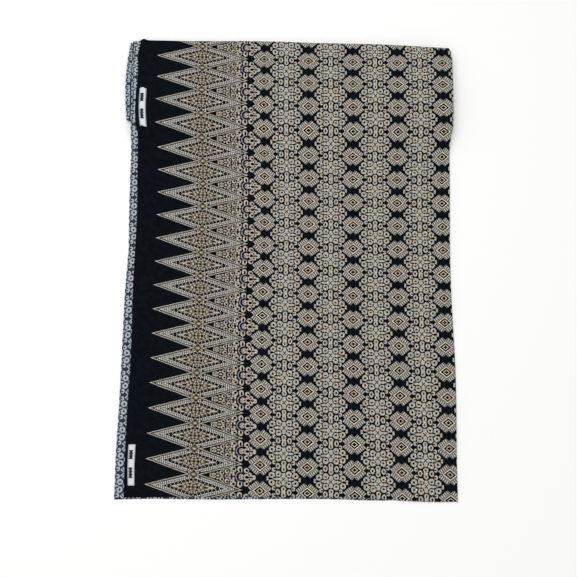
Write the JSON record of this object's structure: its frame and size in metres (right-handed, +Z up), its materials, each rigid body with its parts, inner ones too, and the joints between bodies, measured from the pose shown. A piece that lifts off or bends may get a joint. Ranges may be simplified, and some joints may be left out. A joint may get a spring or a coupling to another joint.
{
  "type": "folded batik cloth",
  "caption": "Printed cotton wrap cloth lying flat: folded in half lengthwise, its far end turned under itself in a packet of runs, two small woven labels.",
  "frame": {"origin": "on the surface that the cloth lies on, under the middle of its outline", "axes": "+X across the cloth towards its lengthwise fold, +Y along it from the cut end to the top fold, +Z up"},
  "size_m": [0.578, 0.7978, 0.0164],
  "materials": {
    "batik_cotton": "matt",
    "label_weave": "matt"
  },
  "bodies": {
    "root": {"cloth": "batik_cotton", "label_upper": "label_weave", "label_lower": "label_weave"}
  },
  "joints": []
}
